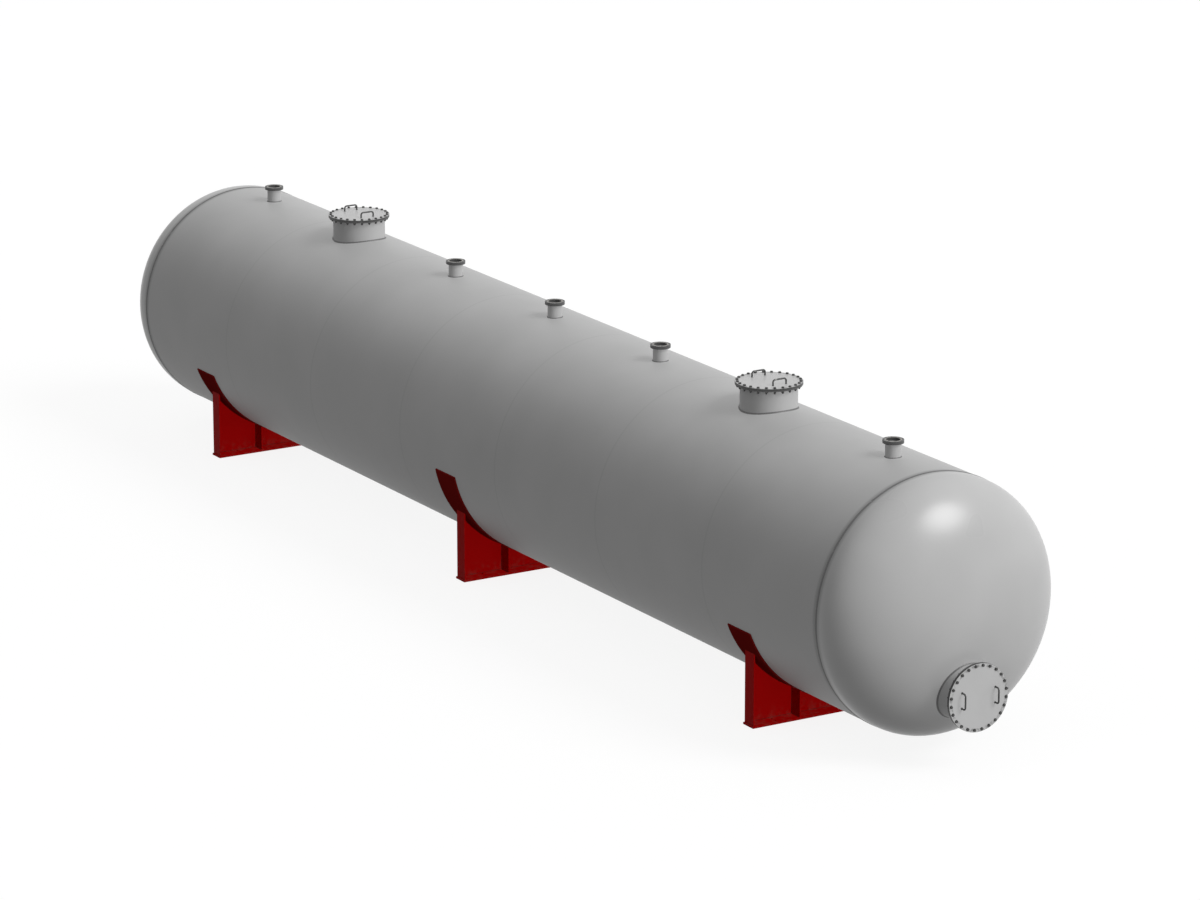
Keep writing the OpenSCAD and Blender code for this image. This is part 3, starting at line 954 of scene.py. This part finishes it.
bolt_oxide, tree = new_tree("black_oxide_steel")
place = add(tree, "TexCoord").outputs["Object"]
grip = add(tree, "TexNoise", inputs={"Vector": place, "Scale": per_metre(GRIP_MM), "Detail": 3.0})
bare = add(tree, "MapRange", inputs={0: grip, "From Min": 0.60, "From Max": 0.70, "To Max": 0.5})
tone = add(tree, "Mix", {"data_type": "RGBA"}, {0: bare, 6: linear("4A4A4A"), 7: linear("85827C")})
shine = add(tree, "MapRange", inputs={0: grip, "To Min": 0.5, "To Max": 0.36})
steel = add(tree, "BsdfPrincipled",
            inputs={"Base Color": tone.outputs[2], "Roughness": shine, "Metallic": 0.9})
add(tree, "OutputMaterial", inputs={"Surface": steel})
print(bolt_oxide.name)

# %% [markdown]
# ## Rubber in the gaskets
# The gasket is a ring of black synthetic rubber cut from sheet. Its edge is all that shows: matt,
# nearly black, with a little grey bloom where the rubber has aged.

# %% Cut the rubber
BLOOM_MM = 40

gasket_rubber, tree = new_tree("cut_black_rubber")
place = add(tree, "TexCoord").outputs["Object"]
bloom = add(tree, "TexNoise", inputs={"Vector": place, "Scale": per_metre(BLOOM_MM), "Detail": 3.0})
tone = add(tree, "Mix", {"data_type": "RGBA"}, {0: bloom, 6: linear("141414"), 7: linear("262626")})
bump = add(tree, "Bump", inputs={"Height": bloom, "Strength": 0.5, "Distance": 0.0005})
rubber = add(tree, "BsdfPrincipled",
             inputs={"Base Color": tone.outputs[2], "Roughness": 0.8, "Normal": bump})
add(tree, "OutputMaterial", inputs={"Surface": rubber})
print(gasket_rubber.name)

# %% [markdown]
# ## Red on the saddles
# The webs, ribs and bases of the saddles carry a strong red enamel. The pads and the welds are a
# deeper, flat red. Both reds were put on by roller, so they are duller and more uneven than the
# drum's sprayed coat, and the stipple of the roller stays in them, drawn 14 mm apart because the
# real 3 mm would not show. Rain splashes dust on the lowest 160 mm, which dulls the paint.

# %% Mix the two reds
ROLLER_MM, STIPPLE_MM, SPLASH_MM = 300, 14, 60
SPLASH_HEIGHT = 0.16


def rolled_red(name, deep, strong, dusty, gloss):
    """Rolled paint between two reds, with dust where rain splashes it, and its share of gloss."""
    material, tree = new_tree(name)
    place = add(tree, "TexCoord").outputs["Object"]
    rolled = add(tree, "TexNoise",
                 inputs={"Vector": place, "Scale": per_metre(ROLLER_MM), "Detail": 3.0})
    tone = add(tree, "Mix", {"data_type": "RGBA"}, {0: rolled, 6: linear(deep), 7: linear(strong)})
    split = add(tree, "SeparateXYZ", inputs={0: place})
    low = add(tree, "MapRange", inputs={0: split.outputs["Z"], "From Max": SPLASH_HEIGHT,
                                        "To Min": 1.0, "To Max": 0.0})
    drops = add(tree, "TexNoise",
                inputs={"Vector": place, "Scale": per_metre(SPLASH_MM), "Detail": 6.0})
    drops = add(tree, "MapRange",
                inputs={0: drops, "From Min": 0.45, "From Max": 0.75, "To Max": 0.35})
    dust = add(tree, "Math", {"operation": "MULTIPLY"}, {0: low, 1: drops})
    tone = add(tree, "Mix", {"data_type": "RGBA"}, {0: dust, 6: tone.outputs[2], 7: linear(dusty)})
    stipple = add(tree, "TexNoise",
                  inputs={"Vector": place, "Scale": per_metre(STIPPLE_MM), "Detail": 1.0})
    bump = add(tree, "Bump", inputs={"Height": stipple, "Strength": 0.5, "Distance": 0.0005})
    shine = add(tree, "MapRange", inputs={0: dust, "To Min": 0.55, "To Max": 0.8})
    coat = add(tree, "BsdfPrincipled", inputs={"Base Color": tone.outputs[2], "Roughness": shine,
                                               "Specular IOR Level": gloss, "Normal": bump})
    add(tree, "OutputMaterial", inputs={"Surface": coat})
    print(material.name)
    return material


web_enamel = rolled_red("rolled_red_enamel", "900000", "9E0102", "6E4A42", 0.04)
# The pads and the saddle welds take a deeper, flat red than the webs.
deeper_red_on_pads = rolled_red("rolled_deeper_red", "66100F", "741816", "564440", 0.0)

# %% [markdown]
# ## Painting the tank
# The record that came with the CAD model names a finish for each of its pieces, and each new piece
# was told its finish when it was made. So one table from finish to material paints them all, and
# only the covers, the heads and the red plates, which have their own, are looked up by name.

# %% Give every piece its finish
FINISHES = {"vessel_plate": vessel_enamel, "nozzle_steel": nozzle_enamel,
            "flange_steel": flange_enamel, "handle_bar": handle_enamel, "gasket": gasket_rubber,
            "saddle_paint": deeper_red_on_pads, "bolt_steel": bolt_oxide, "weld_bead": seam_enamel}
painted = {part["node"]: part["material_slot"] for part in frame["record"]["subparts"]}
painted.update(pieces)
own_finish = dict(cover_finishes)
heads = ("head_front", "head_rear", "front_dish", "rear_dish")
own_finish.update({head: head_enamel_with_painted_light for head in heads})
own_finish.update({f"{saddle}_{plate}": web_enamel
                   for saddle in SADDLES for plate in ("web", "ribs", "base")})
for name, slot in painted.items():
    mesh = bpy.data.objects[name].data
    mesh.materials.clear()
    mesh.materials.append(own_finish.get(name) or FINISHES[slot])
print(len(painted), "pieces painted in", len(bpy.data.materials), "materials")
